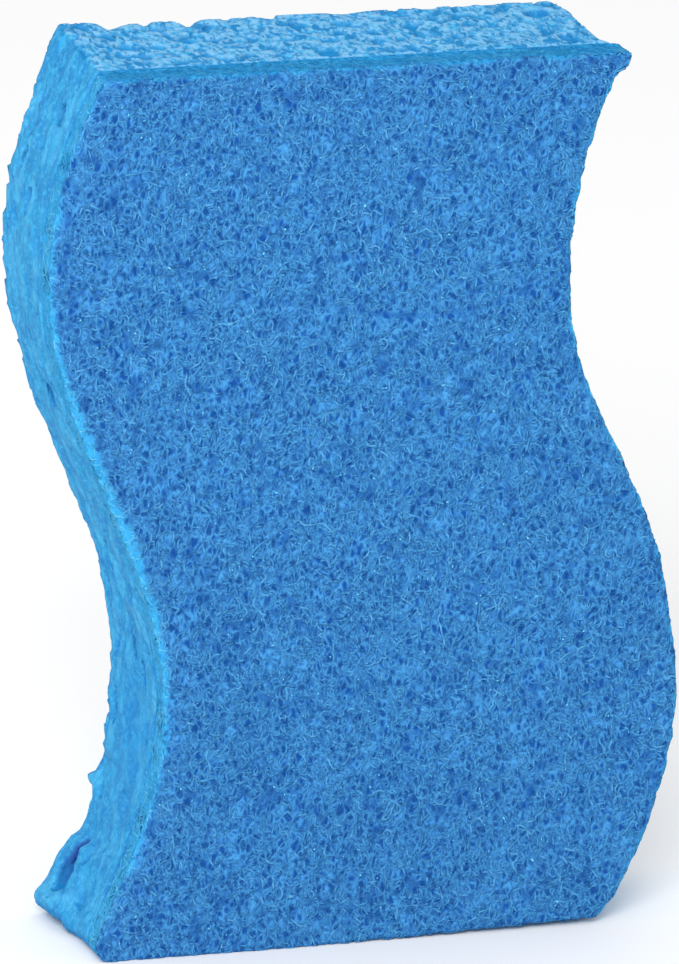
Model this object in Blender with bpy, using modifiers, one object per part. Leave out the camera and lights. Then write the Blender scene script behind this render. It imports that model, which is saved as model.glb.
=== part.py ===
"""Wave-cut scrub sponge, standing on one of its cut ends.

A block of cellulose sponge carries a sheet of nonwoven scouring web, bonded over its whole
front face. Both layers are cut through together, so they share one outline: straight ends
and two parallel wavy sides that give the fingers a waist. The cut opens the cells of the
sponge, which show as flattened hollows on the sides, the ends and the back.

Metres, +Z up the length of the strip, the pad faces -Y and the sponge's back faces +Y.
The origin is on the lower end, under the middle of the part.
"""

import math
import random

import bpy
import bmesh
from mathutils import Matrix, Vector

# Outline, shared by both layers
LENGTH = 0.1118
STRIP_WIDTH = 0.0660
WAVE_AMPLITUDE = 0.00825
WAVE_LENGTH = 0.1140
WAVE_CROSSING_HEIGHT = 0.0585
WAVE_SEGMENTS = 28
CORNER_RADIUS = 0.0011
WORN_CORNER_RADIUS = 0.0020
CORNER_SEGMENTS = 4
CORNER_STEPS = 12

# Layers, front to back
PAD_THICKNESS = 0.0041
BOND_GAP = 0.0003
SPONGE_THICKNESS = 0.0159
PAD_EDGE_ROUNDING = 0.0004
SPONGE_EDGE_ROUNDING = 0.0007
ROUNDING_SEGMENTS = 2

# Crease pressed across the pad
CREASE_LEFT = -0.0205
CREASE_RIGHT = 0.0225
CREASE_HEIGHT = 0.0826
CREASE_RISE = 0.0008
CREASE_SAG = 0.0041
CREASE_SKEW = 1.7
CREASE_RADIUS = 0.00055
CREASE_DEPTH = 0.00040
CREASE_STATIONS = 22
CREASE_SIDES = 8

# Opened cells of the sponge: shortest and longest, in metres
PORE_SEED = 41
PORE_TRIES = 60
PORE_WALL = 0.00045
PORE_SIZE_BIAS = 2.0
PORE_LUMP = 0.13
PORE_SINK = 0.35
SIDE_PORES = 21
SIDE_PORE_LENGTH = (0.0020, 0.0078)
SIDE_PORE_HEIGHT = (0.0011, 0.0027)
SIDE_PORE_DEPTH = (0.0012, 0.0030)
END_PORES = 13
END_PORE_LENGTH = (0.0018, 0.0048)
END_PORE_HEIGHT = (0.0011, 0.0028)
END_PORE_DEPTH = (0.0012, 0.0026)
BACK_PORES = 35
BACK_PORE_LENGTH = (0.0024, 0.0082)
BACK_PORE_SLIMNESS = (0.55, 0.95)
BACK_PORE_DEPTH = (0.0007, 0.0017)
RIM_PORES = 15
RIM_PORE_LENGTH = (0.0026, 0.0062)
RIM_PORE_HEIGHT = (0.0014, 0.0028)
RIM_PORE_DEPTH = (0.0012, 0.0024)

# Cells that stand out: height or shift from the strip's middle, then place along Y, length,
# height and depth
LEFT_SIDE_CELLS = (
    (0.0070, 0.0057, 0.0072, 0.0027, 0.0050),
    (0.0273, 0.0066, 0.0048, 0.0021, 0.0024),
    (0.0266, 0.0014, 0.0074, 0.0017, 0.0022),
)
TOP_CELLS = (
    (-0.0269, 0.0014, 0.0031, 0.0025, 0.0022),
    (-0.0232, 0.0011, 0.0024, 0.0021, 0.0018),
    (0.0270, 0.0056, 0.0050, 0.0029, 0.0024),
    (0.0195, 0.0022, 0.0027, 0.0018, 0.0016),
)

# Bare places, where the part rests and where it is bonded
REST_RADIUS = 0.0030
BOND_MARGIN = 0.0010
RIM_MARGIN = 0.0010

# Heights of the layers' faces along Y, with the whole part centred on Y = 0
TOTAL_THICKNESS = PAD_THICKNESS + BOND_GAP + SPONGE_THICKNESS
PAD_FRONT = -TOTAL_THICKNESS / 2
SPONGE_FRONT = PAD_FRONT + PAD_THICKNESS + BOND_GAP
SPONGE_BACK = TOTAL_THICKNESS / 2


def wave_shift(height):
    """How far the strip has moved along X at a height."""
    turn = 2 * math.pi * (height - WAVE_CROSSING_HEIGHT) / WAVE_LENGTH
    return -WAVE_AMPLITUDE * math.sin(turn)


def wave_direction(height):
    """Unit vector along the wavy side at a height."""
    turn = 2 * math.pi * (height - WAVE_CROSSING_HEIGHT) / WAVE_LENGTH
    slope = -WAVE_AMPLITUDE * 2 * math.pi / WAVE_LENGTH * math.cos(turn)
    return Vector((slope, 0.0, 1.0)).normalized()


def side_x(side, height):
    """X of the left side (side = -1) or of the right side (side = 1)."""
    return side * STRIP_WIDTH / 2 + wave_shift(height)


def corner_arc(side, end):
    """Points (X, Z) of the arc that joins a wavy side to the lower (end = -1) or upper end.

    They run from the side to the end. The arc's middle lies one radius in from both. The left
    corner at the lower end is worn rounder than the others.
    """
    radius = WORN_CORNER_RADIUS if side < 0 and end < 0 else CORNER_RADIUS
    end_height = LENGTH if end > 0 else 0.0
    height = end_height
    for _ in range(CORNER_STEPS):
        along = wave_direction(height)
        inward = Vector((-along.z, along.x)) * side
        height = end_height - end * radius - radius * inward.y
    middle = Vector((side_x(side, height), height)) + radius * inward
    to_side = -inward
    to_end = Vector((0.0, end))
    turn = to_side.angle_signed(to_end)
    points = []
    for step in range(CORNER_SEGMENTS + 1):
        arm = to_side.copy()
        arm.rotate(Matrix.Rotation(-turn * step / CORNER_SEGMENTS, 2))
        points.append(middle + radius * arm)
    return points


def outline():
    """Anticlockwise outline in (X, Z), seen from the pad's side."""
    points = []
    for side in (1, -1):
        first = corner_arc(side, -side)
        last = corner_arc(side, side)
        low = first[0].y
        high = last[0].y
        points += reversed(first)
        for step in range(1, WAVE_SEGMENTS):
            height = low + (high - low) * step / WAVE_SEGMENTS
            points.append(Vector((side_x(side, height), height)))
        points += last
    return points


def collection(name):
    made = bpy.data.collections.new(name)
    bpy.context.scene.collection.children.link(made)
    return made


def material(name, color, roughness):
    made = bpy.data.materials.new(name)
    made.use_nodes = True
    shader = made.node_tree.nodes["Principled BSDF"]
    shader.inputs["Base Color"].default_value = color
    shader.inputs["Roughness"].default_value = roughness
    made.diffuse_color = color
    return made


def cut_slab(name, front, thickness, open_face, finish, holder):
    """A layer of the part: the shared outline, from Y = front to front + thickness.

    The edges of its open face, which is at Y = open_face, are marked for rounding.
    """
    curve = bpy.data.curves.new(name + "_outline", "CURVE")
    curve.dimensions = "2D"
    curve.fill_mode = "BOTH"
    curve.extrude = thickness / 2
    points = outline()
    spline = curve.splines.new("POLY")
    spline.points.add(len(points) - 1)
    for place, point in zip(spline.points, points):
        place.co = (point.x, point.y, 0.0, 1.0)
    spline.use_cyclic_u = True
    drawn = bpy.data.objects.new(name + "_outline", curve)
    drawn.location = (0.0, front + thickness / 2, 0.0)
    drawn.rotation_euler = (math.pi / 2, 0.0, 0.0)
    holder.objects.link(drawn)
    bpy.context.view_layer.update()
    evaluated = drawn.evaluated_get(bpy.context.evaluated_depsgraph_get())
    mesh = bpy.data.meshes.new_from_object(evaluated)
    mesh.transform(drawn.matrix_world)
    bpy.data.objects.remove(drawn)
    bpy.data.curves.remove(curve)

    bm = bmesh.new()
    bm.from_mesh(mesh)
    bmesh.ops.remove_doubles(bm, verts=bm.verts, dist=1e-6)
    for facing in (-1, 1):
        cap = [face for face in bm.faces if face.normal.y * facing > 0.99]
        bmesh.ops.dissolve_faces(bm, faces=cap)
    bmesh.ops.recalc_face_normals(bm, faces=bm.faces)
    rounded = bm.edges.layers.float.new("bevel_weight_edge")
    for edge in bm.edges:
        if all(abs(vert.co.y - open_face) < thickness / 10 for vert in edge.verts):
            edge[rounded] = 1.0
    bm.to_mesh(mesh)
    bm.free()
    mesh.name = name
    mesh.materials.clear()
    mesh.materials.append(finish)
    slab = bpy.data.objects.new(name, mesh)
    holder.objects.link(slab)
    return slab


def round_edges(slab, width):
    bevel = slab.modifiers.new("rounded_edges", "BEVEL")
    bevel.width = width
    bevel.segments = ROUNDING_SEGMENTS
    bevel.limit_method = "WEIGHT"


def cut_away(slab, cutter, name):
    cut = slab.modifiers.new(name, "BOOLEAN")
    cut.operation = "DIFFERENCE"
    cut.solver = "EXACT"
    cut.object = cutter


def cutter_object(name, bm, holder):
    bmesh.ops.recalc_face_normals(bm, faces=bm.faces)
    mesh = bpy.data.meshes.new(name)
    bm.to_mesh(mesh)
    bm.free()
    cutter = bpy.data.objects.new(name, mesh)
    cutter.hide_render = True
    cutter.display_type = "WIRE"
    holder.objects.link(cutter)
    return cutter


def crease_cutter(holder):
    """A sagging round bar that dips into the pad's face and runs out at both ends."""
    bm = bmesh.new()
    rings = []
    for station in range(CREASE_STATIONS + 1):
        t = station / CREASE_STATIONS
        fade = 0.25 + 0.75 * math.sin(math.pi * (0.02 + 0.96 * t))
        x = CREASE_LEFT + (CREASE_RIGHT - CREASE_LEFT) * t
        z = CREASE_HEIGHT + CREASE_RISE * t - CREASE_SAG * math.sin(math.pi * t ** CREASE_SKEW)
        y = PAD_FRONT + CREASE_DEPTH * fade - CREASE_RADIUS
        ring = []
        for side in range(CREASE_SIDES):
            turn = 2 * math.pi * (side + 0.5) / CREASE_SIDES
            ring.append(bm.verts.new((x, y + CREASE_RADIUS * math.cos(turn), z + CREASE_RADIUS * math.sin(turn))))
        rings.append(ring)
    for ring, following in zip(rings, rings[1:]):
        for side in range(CREASE_SIDES):
            after = (side + 1) % CREASE_SIDES
            bm.faces.new((ring[side], ring[after], following[after], following[side]))
    bm.faces.new(rings[0])
    bm.faces.new(rings[-1])
    return cutter_object("crease_cutter", bm, holder)


class Pore:
    """One opened cell: a flattened, slightly lumpy ball.

    Its first axis is the long one, its second lies across it and its third points out of the
    surface it opens through.
    """

    def __init__(self, centre, axes, sizes, dice):
        self.centre = centre
        self.axes = axes
        self.radii = [size / 2 for size in sizes]
        self.lobes = dice.choice((2, 3))
        self.phase = dice.uniform(0.0, 2 * math.pi)

    def reach(self, direction):
        """How far the cell reaches from its centre along a unit direction."""
        squares = [(radius * axis.dot(direction)) ** 2 for axis, radius in zip(self.axes, self.radii)]
        return math.sqrt(sum(squares)) * (1 + PORE_LUMP)

    def clear_of(self, other):
        between = other.centre - self.centre
        if between.length < PORE_WALL:
            return False
        directions = [between.normalized(), Vector((1, 0, 0)), Vector((0, 1, 0)), Vector((0, 0, 1))]
        for direction in directions:
            room = abs(between.dot(direction)) - self.reach(direction) - other.reach(direction)
            if room > PORE_WALL:
                return True
        return False

    def clear_of_rests(self):
        lower_end = Vector((0.0, 0.0, 0.0))
        middle = LENGTH / 2
        back = Vector((wave_shift(middle), SPONGE_BACK, middle))
        for rest in (lower_end, back):
            between = self.centre - rest
            if between.length - self.reach(between.normalized()) < REST_RADIUS:
                return False
        return True

    def add_to(self, bm):
        frame = Matrix([self.axes[row] for row in range(3)]).transposed()
        ball = bmesh.ops.create_icosphere(bm, subdivisions=2, radius=1.0)
        for vert in ball["verts"]:
            around = math.atan2(vert.co.y, vert.co.x)
            flat = math.hypot(vert.co.x, vert.co.y)
            swell = 1 + PORE_LUMP * flat * math.sin(self.lobes * around + self.phase)
            scaled = Vector(co * radius for co, radius in zip(vert.co, self.radii)) * swell
            vert.co = self.centre + frame @ scaled


def pick(dice, limits):
    """A size between two limits, small ones being the commoner."""
    return limits[0] + (limits[1] - limits[0]) * dice.random() ** PORE_SIZE_BIAS


def depth_below(dice, depth):
    """How far under the surface the middle of a cell lies: above 0 it is undercut."""
    return dice.uniform(-PORE_SINK, PORE_SINK) * depth / 2


def on_side(side, z, y, sizes, below, dice):
    """A cell on a wavy side, long along the wave, with its middle some way below the surface."""
    along = wave_direction(z)
    outward = Vector((along.z, 0.0, -along.x)) * side
    centre = Vector((side_x(side, z), y, z)) - outward * below
    return Pore(centre, (along, Vector((0, 1, 0)), outward), sizes, dice)


def on_end(end, shift, y, sizes, below, dice):
    """A cell on an end, long along X, at a shift from the strip's middle there."""
    z = LENGTH if end > 0 else 0.0
    outward = Vector((0, 0, end))
    centre = Vector((wave_shift(z) + shift, y, z)) - outward * below
    return Pore(centre, (Vector((1, 0, 0)), Vector((0, 1, 0)), outward), sizes, dice)


def between_bond_and_rim(dice, height):
    """A place along Y where a cell of this height keeps clear of the bond and of the back rim."""
    half = height * (1 + PORE_LUMP) / 2
    low = SPONGE_FRONT + BOND_MARGIN + half
    return dice.uniform(low, SPONGE_BACK - SPONGE_EDGE_ROUNDING - RIM_MARGIN - half)


def side_pore(dice, side):
    sizes = [pick(dice, limits) for limits in (SIDE_PORE_LENGTH, SIDE_PORE_HEIGHT, SIDE_PORE_DEPTH)]
    z = dice.uniform(sizes[0], LENGTH - sizes[0])
    y = between_bond_and_rim(dice, sizes[1])
    return on_side(side, z, y, sizes, depth_below(dice, sizes[2]), dice)


def end_pore(dice, end):
    sizes = [pick(dice, limits) for limits in (END_PORE_LENGTH, END_PORE_HEIGHT, END_PORE_DEPTH)]
    reach = STRIP_WIDTH / 2 - sizes[0]
    y = between_bond_and_rim(dice, sizes[1])
    return on_end(end, dice.uniform(-reach, reach), y, sizes, depth_below(dice, sizes[2]), dice)


def back_pore(dice):
    length = pick(dice, BACK_PORE_LENGTH)
    width = length * dice.uniform(*BACK_PORE_SLIMNESS)
    depth = pick(dice, BACK_PORE_DEPTH) * 2
    z = dice.uniform(length, LENGTH - length)
    reach = STRIP_WIDTH / 2 - length
    x = wave_shift(z) + dice.uniform(-reach, reach)
    turn = dice.uniform(0.0, math.pi)
    along = Vector((math.cos(turn), 0.0, math.sin(turn)))
    across = Vector((-math.sin(turn), 0.0, math.cos(turn)))
    centre = Vector((x, SPONGE_BACK - depth_below(dice, depth), z))
    return Pore(centre, (along, across, Vector((0, 1, 0))), (length, width, depth), dice)


def rim_pore(dice):
    """A cell on the edge between the back and a side or an end, which notches the outline."""
    length = pick(dice, RIM_PORE_LENGTH)
    height = pick(dice, RIM_PORE_HEIGHT)
    depth = pick(dice, RIM_PORE_DEPTH)
    if dice.random() < LENGTH / (LENGTH + STRIP_WIDTH):
        side = dice.choice((-1, 1))
        z = dice.uniform(length, LENGTH - length)
        along = wave_direction(z)
        outward = Vector((along.z, 0.0, -along.x)) * side
        corner = Vector((side_x(side, z), SPONGE_BACK, z))
    else:
        end = dice.choice((-1, 1))
        z = LENGTH if end > 0 else 0.0
        reach = STRIP_WIDTH / 2 - length
        along = Vector((1, 0, 0))
        outward = Vector((0, 0, end))
        corner = Vector((wave_shift(z) + dice.uniform(-reach, reach), SPONGE_BACK, z))
    inset = SPONGE_EDGE_ROUNDING * dice.uniform(0.1, 0.5)
    centre = corner - outward * inset - Vector((0, inset, 0))
    return Pore(centre, (along, Vector((0, 1, 0)), outward), (length, height, depth), dice)


def scatter(pores, count, make, dice):
    """Add cells that keep a wall between them, and give up on one that finds no room."""
    for _ in range(count):
        for _ in range(PORE_TRIES):
            pore = make(dice)
            if pore.clear_of_rests() and all(pore.clear_of(other) for other in pores):
                pores.append(pore)
                break


def pore_cutters(holder):
    dice = random.Random(PORE_SEED)
    pores = [on_side(-1, z, y, sizes, 0.0, dice) for z, y, *sizes in LEFT_SIDE_CELLS]
    pores += [on_end(1, shift, y, sizes, 0.0, dice) for shift, y, *sizes in TOP_CELLS]
    scatter(pores, RIM_PORES, rim_pore, dice)
    for side in (-1, 1):
        scatter(pores, SIDE_PORES, lambda dice: side_pore(dice, side), dice)
    for end in (-1, 1):
        scatter(pores, END_PORES, lambda dice: end_pore(dice, end), dice)
    scatter(pores, BACK_PORES, back_pore, dice)
    bm = bmesh.new()
    for pore in pores:
        pore.add_to(bm)
    return cutter_object("pore_cutters", bm, holder)


for leftover in list(bpy.data.objects):
    bpy.data.objects.remove(leftover)

cellulose = material("blue_cellulose", (0.072, 0.371, 0.694, 1.0), 0.85)
web = material("blue_scouring_web", (0.044, 0.223, 0.558, 1.0), 0.75)

parts = collection("scrub_sponge")
cutters = collection("scrub_sponge_cutters")

sponge = cut_slab("cellulose_sponge", SPONGE_FRONT, SPONGE_THICKNESS, SPONGE_BACK, cellulose, parts)
round_edges(sponge, SPONGE_EDGE_ROUNDING)
cut_away(sponge, pore_cutters(cutters), "opened_cells")

pad = cut_slab("scouring_pad", PAD_FRONT, PAD_THICKNESS, PAD_FRONT, web, parts)
round_edges(pad, PAD_EDGE_ROUNDING)
cut_away(pad, crease_cutter(cutters), "crease")
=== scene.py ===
"""Looks of the wave-cut scrub sponge: the opened cells of the cellulose, the fibres of the web,
the photograph's camera, and a plain white studio.

Metres throughout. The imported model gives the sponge's outline, its larger cells and the crease.
"""

import itertools
import math

import bpy
import bmesh
import numpy as np
from mathutils import Matrix, Vector
from mathutils.bvhtree import BVHTree


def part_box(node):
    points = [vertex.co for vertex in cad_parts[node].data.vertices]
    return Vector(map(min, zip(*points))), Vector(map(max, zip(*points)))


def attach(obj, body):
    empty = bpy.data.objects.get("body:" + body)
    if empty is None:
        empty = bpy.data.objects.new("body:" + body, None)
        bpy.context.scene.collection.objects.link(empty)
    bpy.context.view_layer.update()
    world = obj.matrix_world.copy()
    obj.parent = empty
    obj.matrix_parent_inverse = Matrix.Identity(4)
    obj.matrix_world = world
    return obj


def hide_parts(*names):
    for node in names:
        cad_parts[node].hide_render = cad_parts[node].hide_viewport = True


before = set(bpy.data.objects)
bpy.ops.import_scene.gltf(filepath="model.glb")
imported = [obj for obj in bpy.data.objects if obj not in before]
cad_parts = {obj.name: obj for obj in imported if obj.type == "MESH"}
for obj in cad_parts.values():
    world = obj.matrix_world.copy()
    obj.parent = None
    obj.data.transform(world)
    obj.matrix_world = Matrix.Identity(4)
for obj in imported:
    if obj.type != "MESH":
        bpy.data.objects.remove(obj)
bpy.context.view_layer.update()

MM = 0.001

# The part, from the frame
SPONGE_LOW, SPONGE_HIGH = (Vector(corner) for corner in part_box("cellulose_sponge"))
PAD_LOW, PAD_HIGH = (Vector(corner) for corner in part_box("scouring_pad"))
LENGTH = SPONGE_HIGH.z
PAD_FRONT = PAD_LOW.y
PAD_BACK = PAD_HIGH.y
BOND = SPONGE_LOW.y
BACK = SPONGE_HIGH.y

# The wave of the cut sides, as the solids have it
STRIP_WIDTH = 66.0 * MM
WAVE_AMPLITUDE = 8.25 * MM
WAVE_LENGTH = 114.0 * MM
WAVE_CROSSING_HEIGHT = 58.5 * MM

# Camera, fitted to the photograph
PHOTO_HEIGHT = 964
FOCAL_PIXELS = 13110.0
SENSOR = 36.0
CAMERA_AZIMUTH = math.radians(-20.076)
CAMERA_ELEVATION = math.radians(16.869)
CAMERA_ROLL = math.radians(2.247)
CAMERA_DISTANCE = 1.5754
CAMERA_TARGET = Vector((-3.72 * MM, -10.15 * MM, 59.04 * MM))
CAMERA_CLIP = (0.05, 50.0)

# Meshes
SPONGE_VOXEL = 0.30 * MM
PAD_VOXEL = 0.45 * MM
MOST_SPONGE_TRIANGLES = 190000
MOST_GROUND_TRIANGLES = 80000


def wave_shift(height):
    return -WAVE_AMPLITUDE * np.sin(2 * np.pi * (height - WAVE_CROSSING_HEIGHT) / WAVE_LENGTH)


def wave_slope(height):
    turn = 2 * np.pi * (height - WAVE_CROSSING_HEIGHT) / WAVE_LENGTH
    return -WAVE_AMPLITUDE * 2 * np.pi / WAVE_LENGTH * np.cos(turn)


def side_gap(points):
    """How far points lie inside the nearer wavy side, measured square to it."""
    across = np.abs(points[:, 0] - wave_shift(points[:, 2]))
    return (STRIP_WIDTH / 2 - across) / np.hypot(1.0, wave_slope(points[:, 2]))


def end_gap(points):
    return np.minimum(points[:, 2], LENGTH - points[:, 2])


def smooth_step(low, high, values):
    t = np.clip((values - low) / (high - low), 0.0, 1.0)
    return t * t * (3 - 2 * t)


def bump_at(values, place, reach):
    """A smooth bump of height 1 at a place."""
    return np.exp(-(((values - place) / reach) ** 2))


def soft_noise(points, size, seed):
    """Smooth noise between -1 and 1, with lumps as wide as size, a length or one for each axis."""
    dice = np.random.default_rng(seed)
    tilt = np.linalg.qr(np.random.default_rng(7).normal(size=(3, 3)))[0]
    place = (points / np.asarray(size)) @ tilt
    place = place - place.min(axis=0)
    cell = np.floor(place).astype(int)
    part = place - cell
    part = part * part * (3 - 2 * part)
    lattice = dice.uniform(-1, 1, size=cell.max(axis=0) + 2)
    total = np.zeros(len(points))
    for corner in itertools.product((0, 1), repeat=3):
        weight = np.prod(np.where(corner, part, 1 - part), axis=1)
        total += weight * lattice[tuple((cell + corner).T)]
    return total


def mesh_arrays(mesh):
    points = np.empty(len(mesh.vertices) * 3, dtype=np.float32)
    mesh.vertices.foreach_get("co", points)
    normals = np.empty(len(mesh.vertices) * 3, dtype=np.float32)
    mesh.vertices.foreach_get("normal", normals)
    return points.reshape(-1, 3).astype(float), normals.reshape(-1, 3).astype(float)


def set_points(mesh, points):
    mesh.vertices.foreach_set("co", points.astype(np.float32).ravel())
    mesh.update()


def set_value(mesh, name, values):
    layer = mesh.attributes.new(name, "FLOAT", "POINT")
    layer.data.foreach_set("value", values.astype(np.float32))


def set_direction(mesh, name, directions):
    layer = mesh.attributes.new(name, "FLOAT_VECTOR", "POINT")
    layer.data.foreach_set("vector", directions.astype(np.float32).ravel())


def shade_smooth(mesh):
    mesh.polygons.foreach_set("use_smooth", np.ones(len(mesh.polygons), dtype=bool))


def with_modifier(mesh, kind, **settings):
    """The mesh that a modifier makes of this one."""
    holder = bpy.data.objects.new("making", mesh)
    bpy.context.scene.collection.objects.link(holder)
    modifier = holder.modifiers.new("making", kind)
    for name, value in settings.items():
        setattr(modifier, name, value)
    evaluated = holder.evaluated_get(bpy.context.evaluated_depsgraph_get())
    made = bpy.data.meshes.new_from_object(evaluated)
    bpy.data.objects.remove(holder)
    return made


def remeshed(node, voxel):
    """A fresh mesh of a CAD node, in even squares of one voxel."""
    return with_modifier(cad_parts[node].data.copy(), "REMESH", mode="VOXEL", voxel_size=voxel)


def thinned(mesh, most):
    triangles = sum(len(face.vertices) - 2 for face in mesh.polygons)
    if triangles <= most:
        return mesh
    return with_modifier(mesh, "DECIMATE", ratio=most / triangles)


def surface_tree(mesh):
    corners = [vertex.co for vertex in mesh.vertices]
    return BVHTree.FromPolygons(corners, [tuple(face.vertices) for face in mesh.polygons])


def piece(name, mesh, finish, node):
    """A shown piece that stands for a CAD node, or lies on it."""
    made = bpy.data.objects.new(name, mesh)
    bpy.context.scene.collection.objects.link(made)
    mesh.name = name
    mesh.materials.clear()
    mesh.materials.append(finish)
    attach(made, "root")
    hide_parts(node)
    return made


# How the soft block differs from its solids: cut a little unevenly, full at the back of the top,
# and torn at the left foot. A pair says where a change starts and where it is whole.
RIGHT_SWELL = 0.15 * MM
RIGHT_WOBBLE = 0.50 * MM
RIGHT_WOBBLE_LENGTH = 40.0 * MM
RIGHT_WOBBLE_PEAK = 92.0 * MM
RIGHT_WOBBLE_TOP = 100.0 * MM
LOBE = 0.45 * MM
LOBE_HEIGHTS = (97.0 * MM, 104.0 * MM)
KNOB = 0.70 * MM
KNOB_HEIGHTS = (108.2 * MM, 109.0 * MM)
LOBE_BACK = (BOND + 1.5 * MM, BOND - 0.5 * MM)
RIGHT_TEETH = 0.38 * MM
RIGHT_TEETH_SPACING = 6.2 * MM
RIGHT_TEETH_PLACE = 101.0 * MM
RIGHT_TEETH_REACH = 6.5 * MM
# Swells of the sides, outward: how much, at what height, over what reach
LEFT_SWELLS = (
    (0.7 * MM, 28.0 * MM, 11.0 * MM),
    (-0.8 * MM, 12.3 * MM, 2.6 * MM),
    (-0.6 * MM, 19.6 * MM, 1.5 * MM),
    (-0.35 * MM, 80.0 * MM, 9.0 * MM),
)
LEFT_SWELL_DEPTHS = (-4.0 * MM, 6.0 * MM)
RIGHT_SWELLS = (
    (0.55 * MM, 27.0 * MM, 9.0 * MM),
    (0.45 * MM, 5.0 * MM, 9.0 * MM),
)
RIM_ROLL = 0.50 * MM
RIM_REACH = 1.8 * MM
END_REACH = 6.0 * MM
TOP_RISE = 0.30 * MM
TOP_RISE_START = -2.0 * MM
TOP_FALL = 0.85 * MM
TOP_FALL_START = BACK - 1.0 * MM
FOOT_LIFT = 0.7 * MM
FOOT_LIFT_START = -7.0 * MM
FOOT_LIFT_END = 32.0 * MM
FOOT_SETTLE = 0.35 * MM
FOOT_SETTLE_HEIGHTS = (1.5 * MM, 0.5 * MM)
FOOT_SETTLE_DEPTH = 1.0 * MM
FLAP_TOP = 10.3 * MM
FLAP_EDGE = 0.6 * MM
FLAP_STEP = 0.6 * MM
FLAP_SPREAD = 1.25 * MM
FLAP_REACH = 9.0 * MM
FLAP_DEPTHS = (-2.0 * MM, 5.0 * MM)
FLAP_LIFT_FRONT = 1.3 * MM
FLAP_LIFT_BACK = 0.5 * MM
FLAP_FRONT = 1.6 * MM
FLAP_LIFT_DEPTHS = (FLAP_FRONT - 0.5 * MM, FLAP_FRONT + 0.3 * MM)
EDGE_ROUGHNESS = 0.20 * MM
EDGE_ROUGHNESS_SIZE = 1.9 * MM
EDGE_ROUGHNESS_REACH = 3.0 * MM


def bent(points):
    """Points moved to where the cutting and wear left them."""
    x, y, z = points.T
    moved = points.copy()
    across = (x - wave_shift(z)) / (STRIP_WIDTH / 2)
    gap = side_gap(points)
    on_left = across < 0
    right = np.clip(across, 0.0, 1.0) ** 2
    left = np.clip(-across, 0.0, 1.0) ** 4

    wobble = np.cos(2 * np.pi * (z - RIGHT_WOBBLE_PEAK) / RIGHT_WOBBLE_LENGTH)
    wobble = RIGHT_SWELL + RIGHT_WOBBLE * wobble * smooth_step(LENGTH, RIGHT_WOBBLE_TOP, z)
    lobe = LOBE * smooth_step(*LOBE_HEIGHTS, z) + KNOB * smooth_step(*KNOB_HEIGHTS, z)
    lobe = lobe * smooth_step(*LOBE_BACK, y)
    turn = z / RIGHT_TEETH_SPACING
    tooth = 0.5 - turn + np.floor(turn)
    lobe = lobe + RIGHT_TEETH * tooth * bump_at(z, RIGHT_TEETH_PLACE, RIGHT_TEETH_REACH)
    left_swell = sum(amount * bump_at(z, height, reach) for amount, height, reach in LEFT_SWELLS)
    right_swell = sum(amount * bump_at(z, height, reach) for amount, height, reach in RIGHT_SWELLS)
    torn = smooth_step(*FLAP_DEPTHS, y) * smooth_step(FLAP_REACH, 0.0, gap) * on_left
    flap = FLAP_STEP + FLAP_SPREAD * np.clip(1.0 - z / FLAP_TOP, 0.0, 1.0)
    flap = torn * flap * smooth_step(FLAP_TOP, FLAP_TOP - FLAP_EDGE, z)
    rough = EDGE_ROUGHNESS * soft_noise(points, EDGE_ROUGHNESS_SIZE, 63)
    rough = rough * smooth_step(EDGE_ROUGHNESS_REACH, 0.0, gap)
    moved[:, 0] += right * (wobble + lobe + right_swell)
    moved[:, 0] -= left * smooth_step(*LEFT_SWELL_DEPTHS, y) * left_swell
    moved[:, 0] += np.sign(across) * rough - flap

    rolled = np.clip(1.0 - gap / RIM_REACH, 0.0, 1.0) ** 2
    moved[:, 1] += RIM_ROLL * rolled * smooth_step(PAD_FRONT + RIM_REACH, PAD_FRONT, y)

    top = smooth_step(LENGTH - END_REACH, LENGTH, z)
    fall = np.clip((TOP_FALL_START - y) / (TOP_FALL_START - BOND), 0.0, 1.0)
    moved[:, 2] += TOP_RISE * top * smooth_step(TOP_RISE_START, BACK, y)
    moved[:, 2] -= TOP_FALL * top * fall
    low = smooth_step(END_REACH, 0.0, z)
    lift = np.clip((x - FOOT_LIFT_START) / (FOOT_LIFT_END - FOOT_LIFT_START), 0.0, 1.0)
    settled = FOOT_SETTLE * smooth_step(*FOOT_SETTLE_HEIGHTS, z)
    settled = settled * smooth_step(PAD_FRONT + FOOT_SETTLE_DEPTH, PAD_FRONT, y)
    back_share = np.clip((y - FLAP_FRONT) / (BACK - FLAP_FRONT), 0.0, 1.0)
    flap_lift = FLAP_LIFT_FRONT + (FLAP_LIFT_BACK - FLAP_LIFT_FRONT) * back_share
    flap_lift = flap_lift * smooth_step(*FLAP_LIFT_DEPTHS, y)
    flap_lift = flap_lift * smooth_step(FLAP_REACH, 0.0, gap) * on_left
    moved[:, 2] += low * (FOOT_LIFT * lift + flap_lift) - settled * (1 - lift)
    moved[:, 2] = np.maximum(moved[:, 2], 0.0)
    return moved


# Notches in the back edge of the top: place across, half width, depth
NOTCHES = (
    (-28.4 * MM, 1.0 * MM, 0.75 * MM),
    (-18.2 * MM, 1.1 * MM, 0.85 * MM),
    (-23.5 * MM, 0.7 * MM, 0.30 * MM),
    (1.8 * MM, 2.2 * MM, 0.30 * MM),
    (17.0 * MM, 1.2 * MM, 0.20 * MM),
    (31.8 * MM, 1.7 * MM, 0.90 * MM),
)
NOTCH_REACH = 3.0 * MM
NOTCH_DEPTHS = (BACK - 4.0 * MM, BACK - 0.8 * MM)
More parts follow.
